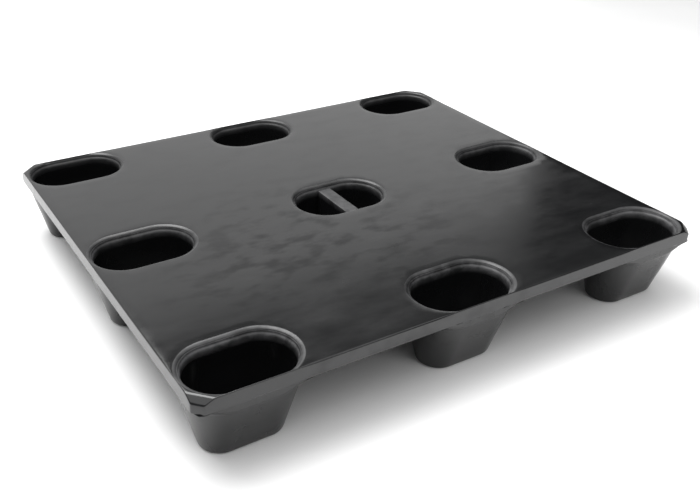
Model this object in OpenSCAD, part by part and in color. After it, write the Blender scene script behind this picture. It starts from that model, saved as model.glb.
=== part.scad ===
// Nine-leg plastic pallet: a closed deck with a shallow skirt, carried by nine hollow, tapered leg cups.
// Millimetres, +Z up. The origin is on the floor under the middle of the deck.

/* [Deck] */
// Length of the pallet along X
pallet_l = 1200; // [1160:10:1300]
// Width of the pallet along Y
pallet_w = 1000; // [960:10:1140]
// Height from the floor to the deck surface
pallet_h = 160; // [140:1:180]
// Thickness of the deck plate
deck_t = 5; // [4:0.5:7]
// Depth of the skirt below the deck surface
skirt_h = 30; // [26:1:36]
// Thickness of the skirt
skirt_t = 4; // [3:0.5:5]
// Length that the corner cut takes off each side, below the bevel
corner_clip = 17; // [12:1:22]
// Length that the corner bevel takes off each side, at the deck surface
bevel_clip = 37; // [30:1:40]
// Drop of the bevel from the deck surface to the corner cut
bevel_drop = 10; // [6:1:12]

/* [Leg cups] */
// Length of a leg along X, at its straight upper band
leg_l = 226; // [216:2:240]
// Width of a leg along Y, at its straight upper band
leg_w = 144; // [136:2:150]
// Width of a leg along Y at the floor
foot_w = 82; // [64:2:90]
// Wall thickness of a leg
wall_t = 4; // [3:0.5:5]
// Thickness of a leg's sole
sole_t = 5; // [4:0.5:8]
// Height of the bevel round a foot
foot_edge = 6; // [4:1:8]

/* [Rim round each opening] */
// Width of a leg's top edge that the deck plate bears on
bearing_w = 3; // [2:0.5:4]
// Depth of the sloped rim in the deck surface
recess_d = 3; // [2:0.5:3.5]
// Width of the sloped rim in the deck surface
recess_w = 4.5; // [3:0.5:6]
// Drop from the deck surface to the ledge inside a leg
ledge_drop = 10; // [8:1:14]
// Width of the ledge inside a leg
ledge_w = 4.5; // [3:0.5:6]

/* [Bar across the centre leg] */
// Width of the bar at its top
bridge_w = 33; // [27:1:40]
// Drop from the deck surface to the top of the bar
bridge_drop = 12; // [8:1:20]

/* [Underside] */
// Depth of the collar that locates each leg
collar_h = 20; // [16:1:21]
// Thickness of the collar
collar_t = 4; // [3:0.5:5]
// Depth of the stiffening ribs
rib_h = 18; // [12:1:20]
// Thickness of the stiffening ribs
rib_t = 3; // [2:0.5:4]

/* [Hidden] */
$fn = 64;
eps = 1;

plastic = "#2d2e30";

// Heights
shoulder_z = pallet_h - deck_t;
band_z = pallet_h - skirt_h;
ledge_z = pallet_h - ledge_drop;
bridge_z = pallet_h - bridge_drop;

// Every leg outline is a stadium: two round ends of radius r, their centres at x = -core and +core
band_r = leg_w / 2;
foot_r = foot_w / 2;
core = leg_l / 2 - band_r;
open_r = band_r - bearing_w;
well_r = band_r - wall_t;
mouth_r = well_r - ledge_w;
foot_inset = foot_edge * 0.8;

// The legs stand in three columns and three rows; the outer rows are flush with the skirt's face
side_gap = 1;
col_pitch = pallet_l / 2 - skirt_t - side_gap - leg_l / 2;
row_pitch = pallet_w / 2 - band_r;

// Flat panel of an outer leg that closes the notch in the skirt
panel_half = core + sqrt(pow(band_r, 2) - pow(band_r - skirt_t, 2));
panel_depth = 1.5 * skirt_t;

// Fit of a leg in its collar, and the four snap lugs that hold it there
fit_gap = 0.4;
collar_r = band_r + fit_gap;
lug_angle = 25;
lug_w = 14;
lug_h = 6;
lug_proud = 2;
lug_lip = 1.5;
lug_root = 1;
lug_z = shoulder_z - 16;

// Rib lines between one column or row of legs and the next
ribs_per_col = 5;
ribs_per_row = 4;

// The bar's sides lean outwards by this much for each millimetre of depth
bridge_draft = 0.05;

// How far the solid corner reaches in behind the bevel, along each side
gusset_w = 8;

// Distance from the middle of the deck to a corner line that takes clip off each side
function diagonal(clip) = (pallet_l / 2 + pallet_w / 2 - clip) / sqrt(2);

// Radius of a leg's outer wall at height z below the band
function wall_r(z) = foot_r + (band_r - foot_r) * z / band_z;

// Height at which the tapering cavity reaches the width of the mouth
cavity_z = band_z * (mouth_r + wall_t - foot_r) / (band_r - foot_r);

module stadium_slab(r, z0, z1) {
    translate([0, 0, z0]) {
        for (side = [-1, 1])
            translate([side * core, 0, 0]) cylinder(r = r, h = z1 - z0);
        translate([-core, -r, 0]) cube([2 * core, 2 * r, z1 - z0]);
    }
}

module stadium_taper(r0, r1, z0, z1) {
    translate([0, 0, z0]) {
        for (side = [-1, 1])
            translate([side * core, 0, 0]) cylinder(r1 = r0, r2 = r1, h = z1 - z0);
        rotate([90, 0, 90]) linear_extrude(2 * core, center = true)
            polygon([[-r0, 0], [r0, 0], [r1, z1 - z0], [-r1, z1 - z0]]);
    }
}

// A block in the XZ plane, wider at its foot, running through the whole leg along Y
module bridge_prism(half_w, top_z, base_z) {
    spread = bridge_draft * (top_z - base_z);
    rotate([90, 0, 0]) linear_extrude(leg_w + 2 * eps, center = true)
        polygon([[-half_w - spread, base_z], [half_w + spread, base_z], [half_w, top_z], [-half_w, top_z]]);
}

// Places its children at each of the four lugs, with X pointing out of the leg's wall
module at_each_lug() {
    for (side = [-1, 1], turn = [-lug_angle, lug_angle])
        translate([side * core, 0, 0]) rotate(90 - side * (90 - turn)) children();
}

module snap_lug() {
    rotate([90, 0, 0]) linear_extrude(lug_w, center = true)
        polygon([[band_r - lug_root, lug_z], [band_r + lug_proud, lug_z],
            [band_r + lug_proud, lug_z + lug_lip], [band_r - lug_root, lug_z + lug_h]]);
}

module snap_pocket() {
    translate([band_r - lug_root, -lug_w / 2 - fit_gap, lug_z - fit_gap])
        cube([lug_root + lug_proud + fit_gap, lug_w + 2 * fit_gap, lug_h + 2 * fit_gap]);
}

// The strip of skirt height that an outer leg shows in the pallet's face; gap widens it into its notch
module face_panel(row, gap, z0, z1) {
    translate([-panel_half - gap, row > 0 ? band_r - panel_depth : -band_r - gap, z0])
        cube([2 * (panel_half + gap), panel_depth + gap, z1 - z0]);
}

module leg_solid(row) {
    stadium_taper(wall_r(foot_edge) - foot_inset, wall_r(foot_edge), 0, foot_edge);
    stadium_taper(wall_r(foot_edge), band_r, foot_edge, band_z);
    stadium_slab(band_r, band_z, shoulder_z);
    at_each_lug() snap_lug();
    if (row != 0) face_panel(row, 0, band_z, shoulder_z);
}

// The inside of a leg: a taper, the mouth, and the wider well above the ledge
module leg_cavity() {
    stadium_taper(wall_r(sole_t) - wall_t, mouth_r, sole_t, cavity_z);
    stadium_slab(mouth_r, cavity_z, ledge_z);
    stadium_slab(well_r, ledge_z, shoulder_z + eps);
}

module at_leg(col, row) {
    translate([col * col_pitch, row * row_pitch, 0]) children();
}

module leg(col, row) {
    color(plastic) at_leg(col, row) difference() {
        leg_solid(row);
        leg_cavity();
    }
}

// Two half cups joined by a bar, with a channel under the bar so that pallets still nest
module leg_centre() {
    color(plastic) difference() {
        leg_solid(0);
        difference() {
            leg_cavity();
            bridge_prism(bridge_w / 2, bridge_z, 0);
        }
        bridge_prism(bridge_w / 2 - wall_t, bridge_z - wall_t, -eps);
    }
}

// Everything that the deck leaves free round one leg
module leg_seat(row) {
    recess_slope = recess_w / recess_d;
    stadium_slab(collar_r, band_z - eps, shoulder_z);
    stadium_slab(open_r, shoulder_z - eps, pallet_h);
    stadium_taper(open_r, open_r + recess_w + recess_slope * eps, pallet_h - recess_d, pallet_h + eps);
    at_each_lug() snap_pocket();
    if (row != 0) face_panel(row, fit_gap, band_z - eps, shoulder_z);
}

// The deck's outline with its corners cut, moved inwards by inset
module deck_outline(inset, clip = corner_clip) {
    x = pallet_l / 2 - inset;
    y = pallet_w / 2 - inset;
    cut = clip - inset * (2 - sqrt(2));
    polygon([[cut - x, -y], [x - cut, -y], [x, cut - y], [x, y - cut],
        [x - cut, y], [cut - x, y], [-x, y - cut], [-x, cut - y]]);
}

module skirt() {
    translate([0, 0, band_z]) linear_extrude(skirt_h) difference() {
        deck_outline(0);
        deck_outline(skirt_t);
    }
}

// Solid material in each corner for the bevel to slope through
module corner_gussets() {
    base_z = pallet_h - bevel_drop - deck_t;
    translate([0, 0, base_z]) linear_extrude(shoulder_z - base_z) difference() {
        deck_outline(0);
        deck_outline(0, bevel_clip + gusset_w);
    }
}

// What each bevel takes off, from the deck surface down to the corner cut
module corner_bevels() {
    high = diagonal(bevel_clip);
    low = diagonal(corner_clip);
    over = (low - high) / bevel_drop * eps;
    for (turn = [45:90:315])
        rotate(turn) rotate([90, 0, 0]) linear_extrude(4 * bevel_clip, center = true)
            polygon([[high - over, pallet_h + eps], [low + over, pallet_h - bevel_drop - eps],
                [low + over, pallet_h + eps]]);
}

module ribs() {
    x_step = col_pitch / ribs_per_col;
    y_step = row_pitch / ribs_per_row;
    rib_z = shoulder_z - rib_h;
    for (i = [-ribs_per_col:ribs_per_col])
        translate([i * x_step - rib_t / 2, -pallet_w / 2, rib_z]) cube([rib_t, pallet_w, rib_h]);
    for (i = [-ribs_per_row:ribs_per_row])
        translate([-pallet_l / 2, i * y_step - rib_t / 2, rib_z]) cube([pallet_l, rib_t, rib_h]);
}

module collars() {
    for (col = [-1:1], row = [-1:1])
        at_leg(col, row) stadium_slab(collar_r + collar_t, shoulder_z - collar_h, shoulder_z);
}

// The ribs and collars, kept inside the skirt
module underside() {
    intersection() {
        union() {
            ribs();
            collars();
        }
        translate([0, 0, band_z]) linear_extrude(skirt_h) deck_outline(skirt_t / 2);
    }
}

module deck() {
    color(plastic) difference() {
        union() {
            translate([0, 0, shoulder_z]) linear_extrude(deck_t) deck_outline(0);
            skirt();
            corner_gussets();
            underside();
        }
        corner_bevels();
        for (col = [-1:1], row = [-1:1])
            at_leg(col, row) leg_seat(row);
    }
}

deck();
leg(-1, -1);  // leg_front_left
leg(0, -1);  // leg_front_middle
leg(1, -1);  // leg_front_right
leg(-1, 0);  // leg_middle_left
leg_centre();
leg(1, 0);  // leg_middle_right
leg(-1, 1);  // leg_back_left
leg(0, 1);  // leg_back_middle
leg(1, 1);  // leg_back_right
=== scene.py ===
import math

import bmesh
import bpy
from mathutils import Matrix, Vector, noise
from mathutils.geometry import delaunay_2d_cdt


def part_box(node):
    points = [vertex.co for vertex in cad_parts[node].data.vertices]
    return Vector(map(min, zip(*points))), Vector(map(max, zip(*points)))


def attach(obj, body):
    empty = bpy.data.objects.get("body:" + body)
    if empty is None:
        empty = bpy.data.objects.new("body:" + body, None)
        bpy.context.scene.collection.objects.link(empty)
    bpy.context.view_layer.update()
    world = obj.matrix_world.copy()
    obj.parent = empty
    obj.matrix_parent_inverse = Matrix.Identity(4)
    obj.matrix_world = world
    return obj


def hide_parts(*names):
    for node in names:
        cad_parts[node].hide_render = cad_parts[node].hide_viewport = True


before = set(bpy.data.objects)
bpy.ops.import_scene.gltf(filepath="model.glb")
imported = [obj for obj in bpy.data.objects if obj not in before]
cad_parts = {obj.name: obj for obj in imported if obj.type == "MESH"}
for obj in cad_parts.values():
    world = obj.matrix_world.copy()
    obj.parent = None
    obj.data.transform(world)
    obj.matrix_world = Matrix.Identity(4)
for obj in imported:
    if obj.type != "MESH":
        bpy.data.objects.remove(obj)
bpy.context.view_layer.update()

# The looks of a nine-leg plastic pallet. Shape sizes are in millimetres and match the CAD source;
# meshes, materials, lights and the camera are made in metres.
MM = 0.001

# Pallet
HALF_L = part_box("deck")[1].x / MM
HALF_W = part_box("deck")[1].y / MM
TOP_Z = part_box("deck")[1].z / MM
PLATE_T = 5.0
PLATE_Z = TOP_Z - PLATE_T
BAND_Z = TOP_Z - 30.0

# Skirt and the deck's outer edge
SKIRT_T = 3.4
EDGE_R = 3.0
HEM_R = 1.5
PLAN_R = 6.0
CLIP = 17.0
BEVEL_CLIP = 37.0
BEVEL_Z = TOP_Z - 10.0
BEVEL_SOFT = 2.5
GUSSET_CLIP = 40.2
GUSSET_Z = BEVEL_Z - PLATE_T

# Heights of the skirt's rings between its rounded edges, close together where the bevel turns
SKIRT_LEVELS = [TOP_Z - 4.5, BEVEL_Z + BEVEL_SOFT, BEVEL_Z + 1.2, BEVEL_Z, BEVEL_Z - 1.2,
                BEVEL_Z - BEVEL_SOFT, BAND_Z + 10.0, BAND_Z + 3.0]

# Where a leg reaches the skirt: the hem runs into the leg, and only a thin ridge divides opening and face
LEG_NEAR = 74.0
LEG_FAR = 98.0
RIDGE_IN = 1.6
RIDGE_OUT = 1.4
RIDGE_SLACK = 0.5

# The deck's gentle unevenness: its mean depth, and its broad and fine waves, each from a layer of noise
SAG_DEPTH = 0.30
BROAD_LENGTH = 260.0
BROAD_DEPTH = 0.35
BROAD_LAYER = 3.1
FINE_LENGTH = 90.0
FINE_DEPTH = 0.06
FINE_LAYER = 7.7

# Legs: every level is a stadium, two round ends of the level's radius about centres at -CORE and +CORE
COLUMNS = {"left": -482.0, "middle": 0.0, "right": 482.0}
ROWS = {"front": -428.0, "middle": 0.0, "back": 428.0}
LEG_PLACES = {
    (row, column): (COLUMNS[column], ROWS[row]) for row in ROWS for column in COLUMNS}
CORE = 41.0
BAND_R = 72.0
FOOT_R = 41.0
FOOT_EDGE_R = 7.0
TURN_Z = 105.0
TAPER_LEVELS = [20.0, 40.0, 60.0, 80.0, 95.0, TURN_Z]
TOP_CHAMFER = 0.5

# How far the band lies behind the skirt's face, and the room between a leg and the inside of a side skirt
BURIED = 1.0
SIDE_GAP = 0.4

# A leg's wall leans outwards by TAPER for each millimetre up, until it turns into the upright band
TAPER = (BAND_R - FOOT_R) / ((TURN_Z + BAND_Z) / 2)
LEAN = math.sqrt(1 + TAPER * TAPER)
WALL_TURN = math.atan2(1, TAPER)

# How a leg spreads into its skirt: from FLARE_Z up to FLARE_LIP below the hem, by FLARE_REACH at the end.
# It starts where the wall faces the skirt by FLARE_FROM, as a share of fully, and grows over FLARE_OVER.
FLARE_Z = 110.0
FLARE_LIP = 0.1
FLARE_REACH = 26.0
FLARE_STEPS = 8
FLARE_FROM = 0.1
FLARE_OVER = 0.7

# Openings: the deck's rim is a list of (distance in from RIM_R, depth below the deck's surface)
RIM_R = 77.0
OPEN_R = 69.0
RIM_PROFILE = [(0.0, 0.0), (1.6, 0.2), (3.2, 0.7), (4.7, 1.4), (6.0, 2.2), (7.0, 3.1), (7.7, 4.0),
               (RIM_R - OPEN_R, PLATE_T)]

# Inside of a cup: the ledge and the mouth below it are a list of (distance in from WELL_R, depth)
WELL_R = 68.0
MOUTH_R = 63.5
LEDGE_PROFILE = [(-0.4, PLATE_T), (0.0, 5.8), (0.2, 7.4), (0.7, 8.6), (1.5, 9.6), (2.5, 10.5),
                 (3.3, 11.6), (3.9, 13.0), (WELL_R - MOUTH_R, 15.0), (4.7, 30.0), (5.1, 49.0)]
CAVITY_LEVELS = [95.0, 75.0, 50.0, 30.0]
FLOOR_R = 8.0
SOLE_T = 5.0
WALL_T = 4.0

# Nesting dulls the rims and ledges of the openings, and painted light greys them for the lit band at the top
# of their walls: from the lower height up, and fully above the upper one. The painted light is strongest at
# the front: its share is 1 at the front Y and falls to the back share at the back Y.
RIM_WEAR_AND_LIGHT_LOW = 134.0
RIM_WEAR_AND_LIGHT_HIGH = 146.0
RIM_WEAR_AND_LIGHT_SOFT = 2.0
RIM_LIGHT_FRONT_Y = -450.0
RIM_LIGHT_BACK_Y = 250.0
RIM_LIGHT_AT_BACK = 0.25

# Bar of the centre leg, and how far it and its channel reach past the surfaces they meet
BAR_HALF = 16.5
BAR_Z = TOP_Z - 12.0
BAR_DRAFT = 0.05
BAR_EDGE_R = 1.5
BAR_REACH = 2.0
CHANNEL_DROP = 1.0
CHANNEL_REACH = 5.0

# Underside
COLLAR_IN_R = 72.4
COLLAR_OUT_R = 76.4
COLLAR_Z = PLATE_Z - 20.0
RIB_Z = PLATE_Z - 18.0
RIB_T = 3.0
RIBS_PER_COLUMN = 5
RIBS_PER_ROW = 4

# Mesh fineness
ARC_STEPS = 24
CHORD = math.cos(math.pi / ARC_STEPS / 2)
SIDE_STEPS = 10
OUTLINE_STEP = 12.0
CORNER_STEPS = 4
GRID_STEP = 16.0
ROUND_STEPS = 5
HEM_STEPS = 3
BAR_STEPS = 3
SHARP_DEGREES = 32
MERGE_WITHIN = 0.01
INSIDE_SLACK = 1.0


def ease(x):
    """0 below 0, 1 above 1, and smooth between."""
    x = min(max(x, 0.0), 1.0)
    return x * x * (3 - 2 * x)


def arc(steps, end=math.pi / 2):
    """Angles from 0 to end, both included."""
    return [end * i / steps for i in range(steps + 1)]


# ---------------------------------------------------------------- meshes

class Shell:
    """A mesh in the making: rings of points in millimetres, and the faces between them."""

    def __init__(self):
        self.bm = bmesh.new()

    def verts(self, points):
        return [self.bm.verts.new(Vector(p) * MM) for p in points]

    def loft(self, rings, start_cap=False, end_cap=False):
        made = [self.verts(points) for points in rings]
        for low, high in zip(made, made[1:]):
            for i in range(len(low)):
                self.bm.faces.new((low[i - 1], low[i], high[i], high[i - 1]))
        if start_cap:
            self.bm.faces.new(reversed(made[0]))
        if end_cap:
            self.bm.faces.new(made[-1])

    def piece(self, name):
        bmesh.ops.remove_doubles(self.bm, verts=self.bm.verts, dist=MERGE_WITHIN * MM)
        bmesh.ops.recalc_face_normals(self.bm, faces=self.bm.faces)
        for face in self.bm.faces:
            face.smooth = True
        mesh = bpy.data.meshes.new(name)
        self.bm.to_mesh(mesh)
        self.bm.free()
        mesh.set_sharp_from_angle(angle=math.radians(SHARP_DEGREES))
        obj = bpy.data.objects.new(name, mesh)
        bpy.context.scene.collection.objects.link(obj)
        return obj


def stadium_frames():
    """For each point of a stadium ring: the X of the centre it turns about, and its outward direction."""
    frames = []
    for side in (1, -1):
        for i in range(ARC_STEPS + 1):
            angle = math.pi * (i / ARC_STEPS - side / 2)
            frames.append((side * CORE, math.cos(angle), math.sin(angle)))
        for i in range(1, SIDE_STEPS):
            frames.append((side * CORE * (1 - 2 * i / SIDE_STEPS), 0.0, float(side)))
    return frames


STADIUM = stadium_frames()


def stadium_ring(centre, r, z):
    cx, cy = centre
    return [(cx + x + r * nx, cy + r * ny, z) for x, nx, ny in STADIUM]


def stadium_distance(centre, x, y):
    """Distance of a point from the line between the stadium's two centres."""
    dx = abs(x - centre[0]) - CORE
    return math.hypot(max(dx, 0.0), y - centre[1])


def nearest_leg(x, y):
    return min(stadium_distance(centre, x, y) for centre in LEG_PLACES.values())


def clear_of_legs(x, y):
    """0 on the skirt where a leg meets it, 1 well away from every leg, and smooth between."""
    return ease((nearest_leg(x, y) - LEG_NEAR) / (LEG_FAR - LEG_NEAR))


# Nominal lengths of the deck's eight sides, in the order of outline_ring's corners
SIDE_LENGTHS = [2 * HALF_W, CLIP * math.sqrt(2), 2 * HALF_L, CLIP * math.sqrt(2)] * 2


def outline_half(inset):
    return HALF_L - inset, HALF_W - inset


def inset_clip(inset, clip):
    """What a corner takes off each side of the outline moved inwards by inset."""
    return clip - inset * (2 - math.sqrt(2))


def outline_ring(inset, clip):
    """The deck's outline moved inwards by inset, with each corner clipped and softened in plan."""
    x, y = outline_half(inset)
    cut = inset_clip(inset, clip)
    corners = [Vector(p) for p in (
        (x, cut - y), (x, y - cut), (x - cut, y), (cut - x, y),
        (-x, y - cut), (-x, cut - y), (cut - x, -y), (x - cut, -y))]
    turn = 2 * math.pi / len(corners)
    reach = PLAN_R * math.tan(turn / 2)
    points = []
    for i, corner in enumerate(corners):
        after_corner = corners[(i + 1) % len(corners)]
        before = (corners[i - 1] - corner).normalized()
        after = (after_corner - corner).normalized()
        inward = (before + after).normalized()
        centre = corner + inward * (PLAN_R / math.cos(turn / 2))
        first = corner + before * reach - centre
        for angle in arc(CORNER_STEPS, turn):
            points.append(centre + Vector((
                first.x * math.cos(angle) - first.y * math.sin(angle),
                first.x * math.sin(angle) + first.y * math.cos(angle))))
        start = points[-1]
        end = after_corner - after * reach
        steps = max(2, round(SIDE_LENGTHS[i] / OUTLINE_STEP))
        points += [start.lerp(end, k / steps) for k in range(1, steps)]
    return points


def bevel_clip(z):
    """How much the corner takes off each side at height z: a soft turn, then the bevel's slope."""
    slope = (BEVEL_CLIP - CLIP) / (TOP_Z - BEVEL_Z)
    above = z - BEVEL_Z
    if above <= -BEVEL_SOFT:
        return CLIP
    if above < BEVEL_SOFT:
        return CLIP + slope * (above + BEVEL_SOFT) ** 2 / (4 * BEVEL_SOFT)
    return CLIP + slope * above


def in_outline(x, y, inset, clip):
    half_x, half_y = outline_half(inset)
    x, y = abs(x), abs(y)
    return x < half_x and y < half_y and x + y < half_x + half_y - inset_clip(inset, clip)


def in_loop(x, y, loop):
    """Whether a point lies inside a closed loop of points."""
    inside = False
    for i, b in enumerate(loop):
        a = loop[i - 1]
        if (a[1] > y) != (b[1] > y) and x < a[0] + (b[0] - a[0]) * (y - a[1]) / (b[1] - a[1]):
            inside = not inside
    return inside


def in_sheet(x, y, loop, clip):
    """Whether a point lies inside one of the deck's edge loops, which keep near the outline."""
    return in_outline(x, y, EDGE_R + INSIDE_SLACK, clip + 2 * INSIDE_SLACK) or in_loop(x, y, loop)


def sheet_of_triangles(loops, segments, points):
    """A constrained triangulation in the plane: its points, and its triangles as index triples."""
    whole_hull, tolerance = 0, 1e-4
    flat, edges = [], []
    for loop in loops:
        first = len(flat)
        flat += [Vector(p[:2]) for p in loop]
        count = len(loop)
        edges += [(first + i, first + (i + 1) % count) for i in range(count)]
    for a, b in segments:
        edges.append((len(flat), len(flat) + 1))
        flat += [Vector(a), Vector(b)]
    flat += [Vector(p) for p in points]
    made = delaunay_2d_cdt(flat, edges, [], whole_hull, tolerance)
    return made[0], made[2]


def stepped_sheet(shell, loops, segments, points, level_of):
    """Flat regions at the heights that level_of gives, joined by upright walls.

    level_of returns (height, has_faces), or None outside the sheet.
    """
    flat, triangles = sheet_of_triangles(loops, segments, points)
    region = []
    for tri in triangles:
        middle = sum((flat[i] for i in tri), Vector((0, 0))) / len(tri)
        region.append(level_of(middle.x, middle.y))
    corner = {}

    def vert(i, z):
        if (i, z) not in corner:
            corner[i, z] = shell.verts([(flat[i].x, flat[i].y, z)])[0]
        return corner[i, z]

    heights, beside = {}, {}
    for tri, found in zip(triangles, region):
        if found is None:
            continue
        z, has_faces = found
        for k in range(len(tri)):
            heights.setdefault(tri[k], set()).add(z)
            beside.setdefault(frozenset((tri[k - 1], tri[k])), set()).add(z)
        if has_faces:
            shell.bm.faces.new([vert(i, z) for i in tri])
    for edge, levels in beside.items():
        if len(levels) == 2:
            low, high = sorted(levels)
            a, b = sorted(edge)
            up = [vert(a, z) for z in sorted(heights[a]) if low <= z <= high]
            down = [vert(b, z) for z in sorted(heights[b], reverse=True) if low <= z <= high]
            shell.bm.faces.new(up + down)


# ---------------------------------------------------------------- deck

def rib_span(across, places, half_length, reach):
    """The stretches of a rib's edge between the collars, as (start, end) along the rib.

    places are the collars' middles as (across the rib, along it); reach gives a collar's half length
    at a distance across from its middle, or None beyond it.
    """
    start, stretches = -half_length, []
    for off, along in sorted(places, key=lambda place: place[1]):
        half = reach(abs(across - off))
        if half is not None:
            stretches.append((start, along - half))
            start = along + half
    return stretches + [(start, half_length)]


def rib_lines():
    """The edges of every rib, as pairs of end points."""
    lines = []
    x_end, y_end = outline_half(SKIRT_T / 2)
    radius = COLLAR_OUT_R - RIB_T / 2

    def along_y(dx):
        inner = max(dx - CORE, 0.0)
        return math.sqrt(radius ** 2 - inner ** 2) if inner < radius else None

    def along_x(dy):
        return CORE + math.sqrt(radius ** 2 - dy ** 2) if dy < radius else None

    for i in range(-RIBS_PER_COLUMN, RIBS_PER_COLUMN + 1):
        for side in (-1, 1):
            x = i * COLUMNS["right"] / RIBS_PER_COLUMN + side * RIB_T / 2
            spans = rib_span(x, LEG_PLACES.values(), y_end, along_y)
            lines += [((x, a), (x, b)) for a, b in spans if b > a]
    for i in range(-RIBS_PER_ROW, RIBS_PER_ROW + 1):
        for side in (-1, 1):
            y = i * ROWS["back"] / RIBS_PER_ROW + side * RIB_T / 2
            places = [(cy, cx) for cx, cy in LEG_PLACES.values()]
            lines += [((a, y), (b, y)) for a, b in rib_span(y, places, x_end, along_x) if b > a]
    return lines


def on_rib(x, y):
    x_step = COLUMNS["right"] / RIBS_PER_COLUMN
    y_step = ROWS["back"] / RIBS_PER_ROW
    off_x = abs(x - x_step * round(x / x_step))
    off_y = abs(y - y_step * round(y / y_step))
    return min(off_x, off_y) < RIB_T / 2


def under_level(x, y, hem):
    """Height of the deck's underside at a point, and whether there is plastic there."""
    if not in_sheet(x, y, hem, CLIP):
        return None
    leg = nearest_leg(x, y)
    if leg < OPEN_R:
        return PLATE_Z, False
    if not in_outline(x, y, SKIRT_T, CLIP):
        return BAND_Z, True
    if leg < COLLAR_IN_R:
        return PLATE_Z, True
    if leg < COLLAR_OUT_R:
        return COLLAR_Z, True
    if not in_outline(x, y, SKIRT_T, GUSSET_CLIP):
        return GUSSET_Z, True
    if on_rib(x, y):
        return RIB_Z, True
    return PLATE_Z, True


def top_level(x, y, edge):
    """The height of the deck's surface, with faces, at a point of it, or None elsewhere."""
    x_ridge, y_ridge = outline_half(RIDGE_IN + RIDGE_SLACK)
    on_ridge = abs(x) > x_ridge or abs(y) > y_ridge
    off_rim = nearest_leg(x, y) > RIM_R * CHORD
    if in_sheet(x, y, edge, BEVEL_CLIP) and (on_ridge or off_rim):
        return TOP_Z, True
    return None


def top_grid():
    """Points spread over the deck's surface, clear of its edges."""
    points = []
    for i in range(-int(HALF_L / GRID_STEP), int(HALF_L / GRID_STEP) + 1):
        for j in range(-int(HALF_W / GRID_STEP), int(HALF_W / GRID_STEP) + 1):
            x, y = i * GRID_STEP, j * GRID_STEP
            clear = in_outline(x, y, EDGE_R + GRID_STEP / 2, BEVEL_CLIP + GRID_STEP / 2)
            if clear and nearest_leg(x, y) > RIM_R + GRID_STEP / 2:
                points.append((x, y))
    return points


def skirt_stations(edge_r, hem_r):
    """(inset, height) pairs from the deck's surface over its edge and down the skirt to the hem."""
    edge = [(edge_r * (1 - math.sin(a)), TOP_Z - edge_r * (1 - math.cos(a))) for a in arc(ROUND_STEPS)]
    hem = [(hem_r * (1 - math.cos(a)), BAND_Z + hem_r * (1 - math.sin(a))) for a in arc(HEM_STEPS)]
    return edge + [(0.0, z) for z in SKIRT_LEVELS] + hem


def skirt_rings():
    """The skirt's stations swept round the deck, with a tighter edge and no hem where a leg meets it."""
    rings = []
    for wide, tight in zip(skirt_stations(EDGE_R, HEM_R), skirt_stations(RIDGE_OUT, 0.0)):
        far, near = [[Vector((p.x, p.y, z)) for p in outline_ring(inset, bevel_clip(z))]
                     for inset, z in (wide, tight)]
        rings.append([b.lerp(a, clear_of_legs(b.x, b.y)) for a, b in zip(far, near)])
    return rings


def within(x, y, x_limit, y_limit):
    return min(max(x, -x_limit), x_limit), min(max(y, -y_limit), y_limit)


def rim_ring(centre, r, z):
    """A ring of an opening's rim, kept off the pallet's faces."""
    limits = outline_half(RIDGE_IN)
    return [(*within(x, y, *limits), z) for x, y, z in stadium_ring(centre, r, z)]


def rim_rings(centre):
    """The rim of one opening: from the deck's surface down a soft slope and over a rounded lip."""
    return [rim_ring(centre, RIM_R - inwards, TOP_Z - depth) for inwards, depth in RIM_PROFILE]


def sag(x, y):
    """Depth of the deck's gentle unevenness at a point."""
    broad = noise.noise(Vector((x / BROAD_LENGTH, y / BROAD_LENGTH, BROAD_LAYER)))
    fine = noise.noise(Vector((x / FINE_LENGTH, y / FINE_LENGTH, FINE_LAYER)))
    return SAG_DEPTH + BROAD_DEPTH * broad + FINE_DEPTH * fine


def make_deck():
    shell = Shell()
    rings = skirt_rings()
    shell.loft(rings)
    for centre in LEG_PLACES.values():
        shell.loft(rim_rings(centre))
    top_loops = [rings[0]] + [rim_ring(c, RIM_R, TOP_Z) for c in LEG_PLACES.values()]
    stepped_sheet(shell, top_loops, [], top_grid(), lambda x, y: top_level(x, y, rings[0]))
    under_loops = [rings[-1], outline_ring(SKIRT_T, CLIP), outline_ring(SKIRT_T, GUSSET_CLIP)]
    for centre in LEG_PLACES.values():
        under_loops += [stadium_ring(centre, r, 0) for r in (OPEN_R, COLLAR_IN_R, COLLAR_OUT_R)]
    stepped_sheet(shell, under_loops, rib_lines(), [], lambda x, y: under_level(x, y, rings[-1]))
    for v in shell.bm.verts:
        x, y, z = v.co / MM
        v.co.z -= sag(x, y) * ease((z - PLATE_Z) / PLATE_T) * MM
    return shell.piece("deck_moulding")


# ---------------------------------------------------------------- legs

def outer_radius(z):
    """Radius of a leg's outer wall: a taper that turns softly into the upright band."""
    if z >= BAND_Z:
        return BAND_R
    if z > TURN_Z:
        return BAND_R - TAPER * (BAND_Z - z) ** 2 / (2 * (BAND_Z - TURN_Z))
    return FOOT_R + TAPER * z


def flare(z):
    """How far a leg spreads into the skirt at height z."""
    rise = min(max((z - FLARE_Z) / (BAND_Z - FLARE_Z), 0.0), 1.0)
    return FLARE_REACH * (1 - math.sqrt(1 - rise * rise))


def leg_ring(centre, r, z, spread=0.0, behind=0.0):
    """One ring of a leg, spread towards its skirt and kept within the pallet's faces."""
    facing = (centre[1] > 0) - (centre[1] < 0)
    x_limit = HALF_L - SKIRT_T - SIDE_GAP
    y_limit = HALF_W - behind
    ring = []
    for x, nx, ny in STADIUM:
        reach = r + spread * ease((ny * facing - FLARE_FROM) / FLARE_OVER)
        ring.append((*within(centre[0] + x + reach * nx, centre[1] + reach * ny, x_limit, y_limit), z))
    return ring


def rounded_foot(base_r, edge_r, base_z, angles):
    """(radius, height) pairs round the edge between a level base and the tapering wall above it."""
    centre_r = base_r + edge_r * (TAPER - LEAN)
    return [(centre_r + edge_r * math.sin(a), base_z + edge_r * (1 - math.cos(a))) for a in angles]


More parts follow.
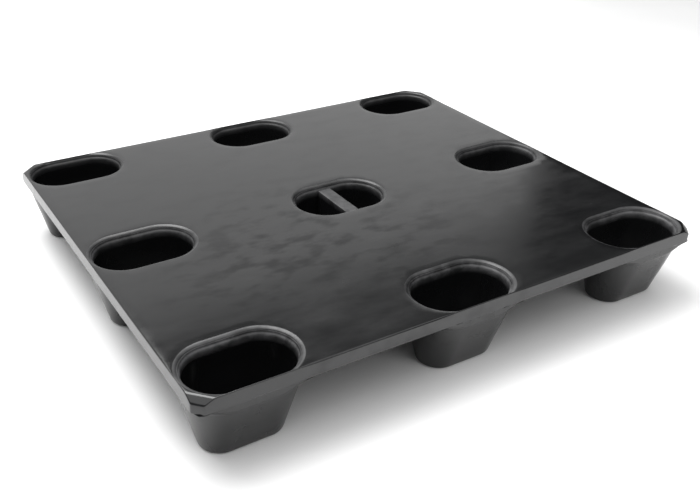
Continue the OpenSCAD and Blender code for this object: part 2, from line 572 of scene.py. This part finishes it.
def outer_stations():
    """(radius, height, spread, depth behind the face) up the outside of a leg."""
    step = (BAND_Z - FLARE_Z) / FLARE_STEPS
    heights = TAPER_LEVELS + [FLARE_Z + step * i for i in range(FLARE_STEPS)]
    stations = rounded_foot(FOOT_R, FOOT_EDGE_R, 0.0, arc(ROUND_STEPS, WALL_TURN))
    stations += [(outer_radius(z), z, flare(z)) for z in heights]
    stations += [(BAND_R, BAND_Z - FLARE_LIP, FLARE_REACH), (BAND_R, BAND_Z, 0.0, BURIED)]
    stations += [(BAND_R, PLATE_Z - TOP_CHAMFER, 0.0, BURIED), (BAND_R - TOP_CHAMFER, PLATE_Z, 0.0, BURIED)]
    return stations


def inner_stations():
    """(radius, height) pairs down the inside of a leg, over the ledge to the cup's floor."""
    ledge = [(WELL_R - inwards, TOP_Z - depth) for inwards, depth in LEDGE_PROFILE]
    wall = [(outer_radius(z) - WALL_T, z) for z in CAVITY_LEVELS]
    angles = reversed(arc(ROUND_STEPS, WALL_TURN))
    return ledge + wall + rounded_foot(outer_radius(SOLE_T) - WALL_T, FLOOR_R, SOLE_T, angles)


def leg_shell(centre):
    shell = Shell()
    rings = [leg_ring(centre, *station) for station in outer_stations()]
    rings += [stadium_ring(centre, r, z) for r, z in inner_stations()]
    shell.loft(rings, start_cap=True, end_cap=True)
    return shell


def bar_block(name, half_top, top_z, base_z, half_y):
    """A drafted block along Y through the centre leg, with its top edges rounded."""
    base = half_top + BAR_DRAFT * (top_z - base_z)
    edge = [(BAR_EDGE_R * (1 - math.cos(a)), top_z - BAR_EDGE_R * (1 - math.sin(a))) for a in arc(BAR_STEPS)]
    profile = [(-base, base_z), (base, base_z)]
    profile += [(half_top - inwards, z) for inwards, z in edge]
    profile += [(inwards - half_top, z) for inwards, z in reversed(edge)]
    shell = Shell()
    shell.loft([[(x, y, z) for x, z in profile] for y in (half_y, -half_y)],
               start_cap=True, end_cap=True)
    return shell.piece(name)


def combine(obj, other, operation):
    """Joins other to obj, or cuts it away, and removes other."""
    modifier = obj.modifiers.new(operation, "BOOLEAN")
    modifier.object = other
    modifier.operation = operation
    modifier.solver = "EXACT"
    evaluated = obj.evaluated_get(bpy.context.evaluated_depsgraph_get())
    mesh = bpy.data.meshes.new_from_object(evaluated)
    obj.modifiers.clear()
    obj.data = mesh
    bpy.data.objects.remove(other)


def add_bar(leg):
    """Gives the centre leg its bar, and the channel under the bar."""
    bar = bar_block("bar", BAR_HALF, BAR_Z, SOLE_T - BAR_REACH, MOUTH_R + BAR_REACH)
    combine(leg, bar, "UNION")
    channel = bar_block(
        "channel", BAR_HALF - WALL_T, BAR_Z - WALL_T, -CHANNEL_DROP, BAND_R + CHANNEL_REACH)
    combine(leg, channel, "DIFFERENCE")
    leg.data.set_sharp_from_angle(angle=math.radians(SHARP_DEGREES))


def make_leg(row, column):
    """The visual leg at one place, and the name of the CAD node it replaces."""
    is_centre = row == "middle" and column == "middle"
    place = "centre" if is_centre else f"{row}_{column}"
    leg = leg_shell(LEG_PLACES[row, column]).piece("cup_" + place)
    if is_centre:
        add_bar(leg)
    return leg, "leg_" + place


# ---------------------------------------------------------------- materials

class Nodes:
    """A short way to build the node tree of a material or a world."""

    def __init__(self, owner, coordinates):
        owner.use_nodes = True
        self.tree = owner.node_tree
        self.place = self.add("ShaderNodeTexCoord").outputs[coordinates]

    def join(self, value, socket):
        """Links a socket to another, or sets it to a number, a vector or a colour."""
        if isinstance(value, bpy.types.NodeSocket):
            self.tree.links.new(value, socket)
        else:
            socket.default_value = value

    def add(self, kind, inputs=None, **settings):
        node = self.tree.nodes.new(kind)
        for key, value in settings.items():
            setattr(node, key, value)
        for key, value in (inputs or {}).items():
            self.join(value, node.inputs[key])
        return node

    def noise(self, scale, detail=3.0, roughness=0.5, stretch=(1, 1, 1)):
        place = self.add("ShaderNodeMapping", {"Vector": self.place, "Scale": stretch})
        return self.add("ShaderNodeTexNoise", {
            "Vector": place.outputs[0], "Scale": scale, "Detail": detail,
            "Roughness": roughness}).outputs["Fac"]

    def span(self, value, low, high, to_low=0.0, to_high=1.0, **settings):
        """to_low where value is low, to_high where it is high, and evenly between."""
        return self.add("ShaderNodeMapRange", {
            "Value": value, "From Min": low, "From Max": high, "To Min": to_low,
            "To Max": to_high}, **settings).outputs["Result"]

    def calc(self, operation, *values):
        return self.add("ShaderNodeMath", dict(enumerate(values)), operation=operation).outputs[0]

    def plus(self, first, *others):
        for other in others:
            first = self.calc("ADD", first, other)
        return first

    def times(self, first, *others):
        for other in others:
            first = self.calc("MULTIPLY", first, other)
        return first

    def vector(self, operation, *values, result="Value"):
        return self.add("ShaderNodeVectorMath", dict(enumerate(values)), operation=operation).outputs[result]

    def part(self, vector, axis):
        return self.add("ShaderNodeSeparateXYZ", {0: vector}).outputs[axis]

    def blend(self, amount, a, b):
        node = self.add("ShaderNodeMix", {"Factor": amount}, data_type="RGBA")
        for key, value in (("A", a), ("B", b)):
            socket = [s for s in node.inputs if s.name == key and s.type == "RGBA"][0]
            self.join(value, socket)
        return [s for s in node.outputs if s.type == "RGBA"][0]


# Colours of the plastic: clean, smudged, scuffed on deck and legs (the deck's scuff colour is also painted
# sheen on its upright faces), and the painted light of the openings' rims
BLACK = (0.0038, 0.0040, 0.0043, 1)
SMUDGE = (0.006, 0.0062, 0.0066, 1)
DECK_SCUFF_AND_SHEEN = (0.06, 0.06, 0.063, 1)
LEG_SCUFF = (0.07, 0.07, 0.073, 1)
# Painted light for the lit band of the openings' rims
RIM_PAINTED_LIGHT_GREY = (0.085, 0.085, 0.088, 1)

# How much a scratch and a worn edge grey the colour
MARK_GREY = 0.35
EDGE_GREY = 0.5

# How unevenly the painted light greys the rims, as shares of the amount that a material asks for
RIM_LIGHT_LEAST = 0.25
RIM_LIGHT_MOST = 1.2

# What smears, scratches and nesting add to the roughness
WIPED_ROUGH = 0.06
MARK_ROUGH = 0.12
NESTED_ROUGH = 0.24

# Specular level of clean and of smeared plastic
GLOSS = 0.57
WIPED_GLOSS = 0.32

# The most smeared patch: its middle, and its inner and outer radius, in metres, and the share left outside it
SMEARED = (-0.17, -0.25, 0.16)
SMEARED_IN = 0.18
SMEARED_OUT = 0.42
SMEARED_REST = 0.15

# Bump: heights of the mould's grain and of the smears, and the whole bump's strength and depth in metres
GRAIN_HEIGHT = 0.05
SMEAR_HEIGHT = 0.35
BUMP_STRENGTH = 0.12
BUMP_DEPTH = 0.0006

PLASTIC_IOR = 1.51
FLOOR_IOR = 1.2
FLOOR_ROUGH = 0.25
FLOOR_GREYS = (0.88, 0.88, 0.88, 1), (0.91, 0.91, 0.91, 1)


def from_nearest_leg(n):
    """Distance in metres from the middle line of the nearest leg."""

    def off_middle(axis, pitch):
        half = pitch * MM / 2
        return n.calc("WRAP", n.part(n.place, axis), half, -half)

    beyond = n.calc("SUBTRACT", n.calc("ABSOLUTE", off_middle("X", COLUMNS["right"])), CORE * MM)
    across = n.add("ShaderNodeCombineXYZ", {
        "X": n.calc("MAXIMUM", beyond, 0.0), "Y": off_middle("Y", ROWS["back"])}).outputs[0]
    return n.vector("LENGTH", across)


def rim_dulling_and_painted_light(n):
    """How dull nesting rubs the rims and ledges of the openings, and how much painted light greys them for
    their lit band, each from 0 to 1.
    """
    y = n.part(n.place, "Y")
    near = n.span(from_nearest_leg(n), low=RIM_R * MM, high=(RIM_R - RIM_WEAR_AND_LIGHT_SOFT) * MM)
    high_up = n.span(n.part(n.place, "Z"), low=RIM_WEAR_AND_LIGHT_LOW * MM, high=RIM_WEAR_AND_LIGHT_HIGH * MM)
    face = HALF_W - RIDGE_IN
    behind_face = n.span(n.calc("ABSOLUTE", y), low=face * MM, high=(face - RIM_WEAR_AND_LIGHT_SOFT) * MM)
    dulled = n.times(near, high_up, behind_face)
    # Painted light is strongest at the front rows.
    forward = n.span(y, low=RIM_LIGHT_BACK_Y * MM, high=RIM_LIGHT_FRONT_Y * MM, to_low=RIM_LIGHT_AT_BACK)
    return dulled, n.times(dulled, forward)


def wiped_patches(n):
    """Smears left by wiping, strongest in one part of the deck."""
    patches = n.noise(scale=13.0, detail=3.0, roughness=0.55, stretch=(1.0, 2.0, 1.0))
    away = n.vector("DISTANCE", n.place, SMEARED)
    share = n.span(away, low=SMEARED_OUT, high=SMEARED_IN, to_low=SMEARED_REST)
    return n.times(n.span(patches, low=0.48, high=0.64), share)


def worn_edges(n):
    """Edges worn pale here and there."""
    convex = n.add("ShaderNodeNewGeometry").outputs["Pointiness"]
    here = n.noise(scale=35.0, detail=4.0, roughness=0.7)
    return n.times(n.span(convex, low=0.52, high=0.60), n.span(here, low=0.45, high=0.62))


def scratch_marks(n, smears):
    """Fine scratches along X, where the surface is smeared."""
    scratches = n.noise(scale=60.0, detail=6.0, roughness=0.7, stretch=(1.0, 14.0, 1.0))
    return n.times(n.span(scratches, low=0.62, high=0.80), n.span(smears, low=0.48, high=0.72))


def upright_painted_sheen(n, smears, upright_sheen):
    """Painted sheen: up to the given amount on upright faces, standing in for the light they reflect, and 0
    on level ones.
    """
    up = n.part(n.add("ShaderNodeNewGeometry").outputs["Normal"], "Z")
    upright = n.span(n.times(up, up), low=0.3, high=0.05, to_high=upright_sheen)
    return n.times(upright, n.span(smears, low=0.2, high=0.6, to_low=0.7))


def moulded_plastic(name, scuff_and_sheen, roughness, upright_sheen, rim_light):
    """Semi-gloss black polyethylene: faint mould texture, smudges, fine scratches and pale worn edges, with
    painted sheen on upright faces and painted light on the openings' rims.

    The fourth argument says how much painted sheen greys the upright faces, and the fifth how much painted
    light greys the rims and ledges.
    """
    material = bpy.data.materials.new(name)
    n = Nodes(material, "Object")
    cloud = n.noise(scale=2.6, detail=4.0, roughness=0.55)
    smears = n.noise(scale=9.0, detail=5.0, roughness=0.6, stretch=(1.0, 3.0, 1.0))
    grain = n.noise(scale=420.0, detail=2.0, roughness=0.6)
    patches = n.noise(scale=30.0, detail=3.0, roughness=0.6)
    wiped = wiped_patches(n)
    marks = scratch_marks(n, smears)
    dulled, rim_painted_light = rim_dulling_and_painted_light(n)

    colour = n.blend(n.span(cloud, low=0.35, high=0.70), BLACK, SMUDGE)
    # Painted sheen: upright faces greyed with the scuff colour to stand in for reflected light.
    colour = n.blend(upright_painted_sheen(n, smears, upright_sheen), colour, scuff_and_sheen)
    colour = n.blend(n.times(marks, MARK_GREY), colour, scuff_and_sheen)
    colour = n.blend(n.times(worn_edges(n), EDGE_GREY), colour, scuff_and_sheen)
    # Painted light: the rims and ledges greyed patchily for the lit band at the top of the openings' walls.
    uneven = n.span(
        patches, low=0.40, high=0.60, to_low=RIM_LIGHT_LEAST * rim_light, to_high=RIM_LIGHT_MOST * rim_light)
    colour = n.blend(n.times(rim_painted_light, uneven), colour, RIM_PAINTED_LIGHT_GREY)

    rough = n.plus(
        n.span(smears, low=0.30, high=0.75, to_low=-0.05, to_high=0.07),
        n.span(cloud, low=0.3, high=0.7, to_low=-0.04, to_high=0.05),
        n.times(wiped, WIPED_ROUGH), n.times(marks, MARK_ROUGH), roughness,
        n.times(dulled, NESTED_ROUGH))
    height = n.plus(n.times(grain, GRAIN_HEIGHT), n.times(smears, SMEAR_HEIGHT))
    bump = n.add("ShaderNodeBump", {
        "Height": height, "Strength": BUMP_STRENGTH, "Distance": BUMP_DEPTH}).outputs[0]

    shader = n.tree.nodes["Principled BSDF"].inputs
    shader["IOR"].default_value = PLASTIC_IOR
    shader["Specular IOR Level"].default_value = GLOSS
    n.join(n.span(wiped, low=0.0, high=1.0, to_low=GLOSS, to_high=WIPED_GLOSS), shader["Specular IOR Level"])
    n.join(colour, shader["Base Color"])
    n.join(rough, shader["Roughness"])
    n.join(bump, shader["Normal"])
    return material


def floor_material():
    """Pale satin floor with a very slight cloudiness."""
    material = bpy.data.materials.new("pale_floor")
    n = Nodes(material, "Object")
    shader = n.tree.nodes["Principled BSDF"].inputs
    n.join(n.blend(n.span(n.noise(scale=1.5), low=0.3, high=0.7), *FLOOR_GREYS), shader["Base Color"])
    shader["Roughness"].default_value = FLOOR_ROUGH
    shader["IOR"].default_value = FLOOR_IOR
    return material


# ---------------------------------------------------------------- stage, lights and camera

FLOOR_HALF = 14.0

# The studio round the pallet: a pale wall behind it, a grey ceiling with a bright middle, and a dark screen
# on the right. The wall's top edge climbs WALL_RISE and its right end lies WALL_END to the right for each
# unit back from the pallet. The screen starts there and reaches round to the front, where its end lies
# FLAG_END to the right for each unit forward.
WALL_LIGHT = 1.1
CEILING_LIGHT = 0.25
ZENITH_LIGHT = 1.6
SCREEN_LIGHT = 0.01
WALL_RISE = 0.77
WALL_END = 1.12
FLAG_END = 1.2

# Sines of the elevations between which the ceiling's bright middle begins, and the screen ends
ZENITH_FROM, ZENITH_TO = 0.70, 0.80
SCREEN_TOP_FROM, SCREEN_TOP_TO = 0.40, 0.70

# How soft the studio's edges are
EDGE_SOFT = 0.03
WALL_END_SOFT = 0.01

# Camera: place in metres, turn in degrees, and a lens on a 36 mm sensor
CAMERA_PLACE = (-1.00927, -1.45769, 1.05011)
CAMERA_TURN = (59.704, -0.942, -30.248)
CAMERA_SENSOR = 36.0
CAMERA_LENS = 44.107
CAMERA_SHIFT = 0.0914


def make_floor():
    mesh = bpy.data.meshes.new("studio_floor")
    corners = [(-1, -1), (1, -1), (1, 1), (-1, 1)]
    mesh.from_pydata([(x * FLOOR_HALF, y * FLOOR_HALF, 0) for x, y in corners], [], [(0, 1, 2, 3)])
    floor = bpy.data.objects.new("studio_floor", mesh)
    bpy.context.scene.collection.objects.link(floor)
    floor.data.materials.append(floor_material())


def soft_light(name, place, size, watts):
    """A rectangular light that points at the middle of the floor."""
    data = bpy.data.lights.new(name, "AREA")
    data.shape = "RECTANGLE"
    data.size, data.size_y = size
    data.energy = watts
    light = bpy.data.objects.new(name, data)
    light.location = place
    light.rotation_euler = (-Vector(place)).to_track_quat("-Z", "Y").to_euler()
    bpy.context.scene.collection.objects.link(light)


def make_world():
    world = bpy.data.worlds.new("studio")
    n = Nodes(world, "Generated")

    def fade(value, low, high, to_low, to_high):
        return n.span(value, low, high, to_low, to_high, interpolation_type="SMOOTHSTEP")

    def past(plane, softness, inside, outside):
        """inside on one side of a plane through the pallet, outside on the other, with a soft change."""
        side = n.vector("DOT_PRODUCT", n.place, Vector(plane).normalized())
        return fade(side, -softness, softness, inside, outside)

    height = n.part(n.place, "Z")
    ceiling = fade(height, ZENITH_FROM, ZENITH_TO, CEILING_LIGHT, ZENITH_LIGHT)
    screen = fade(height, SCREEN_TOP_FROM, SCREEN_TOP_TO, SCREEN_LIGHT, ceiling)
    left = past((0, -WALL_RISE, 1), EDGE_SOFT, WALL_LIGHT, ceiling)
    right = past((-1, -FLAG_END, 0), EDGE_SOFT, screen, ceiling)
    background = n.tree.nodes["Background"].inputs
    n.join(past((1, -WALL_END, 0), WALL_END_SOFT, left, right), background["Strength"])
    background["Color"].default_value = (1, 1, 1, 1)
    bpy.context.scene.world = world


def make_lights():
    make_world()
    soft_light("overhead", place=(-0.6, 0.9, 2.8), size=(2.6, 2.0), watts=115)
    soft_light("front_fill", place=(0.6, -3.0, 2.2), size=(2.0, 1.2), watts=12)
    bpy.context.scene.view_settings.view_transform = "Standard"


def make_camera():
    data = bpy.data.cameras.new("camera")
    data.sensor_width = CAMERA_SENSOR
    data.lens = CAMERA_LENS
    data.shift_x = CAMERA_SHIFT
    camera = bpy.data.objects.new("camera", data)
    camera.location = CAMERA_PLACE
    camera.rotation_euler = [math.radians(a) for a in CAMERA_TURN]
    bpy.context.scene.collection.objects.link(camera)
    bpy.context.scene.camera = camera


def make_pallet():
    # The deck's upright faces get painted sheen; both plastics get painted light on the openings' rims.
    deck_plastic = moulded_plastic("black_deck", DECK_SCUFF_AND_SHEEN, roughness=0.15, upright_sheen=0.22, rim_light=0.35)
    leg_plastic = moulded_plastic("black_leg", LEG_SCUFF, roughness=0.24, upright_sheen=0.0, rim_light=0.85)
    pieces = [(make_deck(), "deck", "deck_plastic", deck_plastic)]
    for row, column in LEG_PLACES:
        leg, node = make_leg(row, column)
        pieces.append((leg, node, "leg_plastic", leg_plastic))
    for obj, node, slot, material in pieces:
        obj.data.materials.clear()
        obj.data.materials.append(material)
        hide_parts(node)
        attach(obj, "root")


make_camera()
make_lights()
make_floor()
make_pallet()
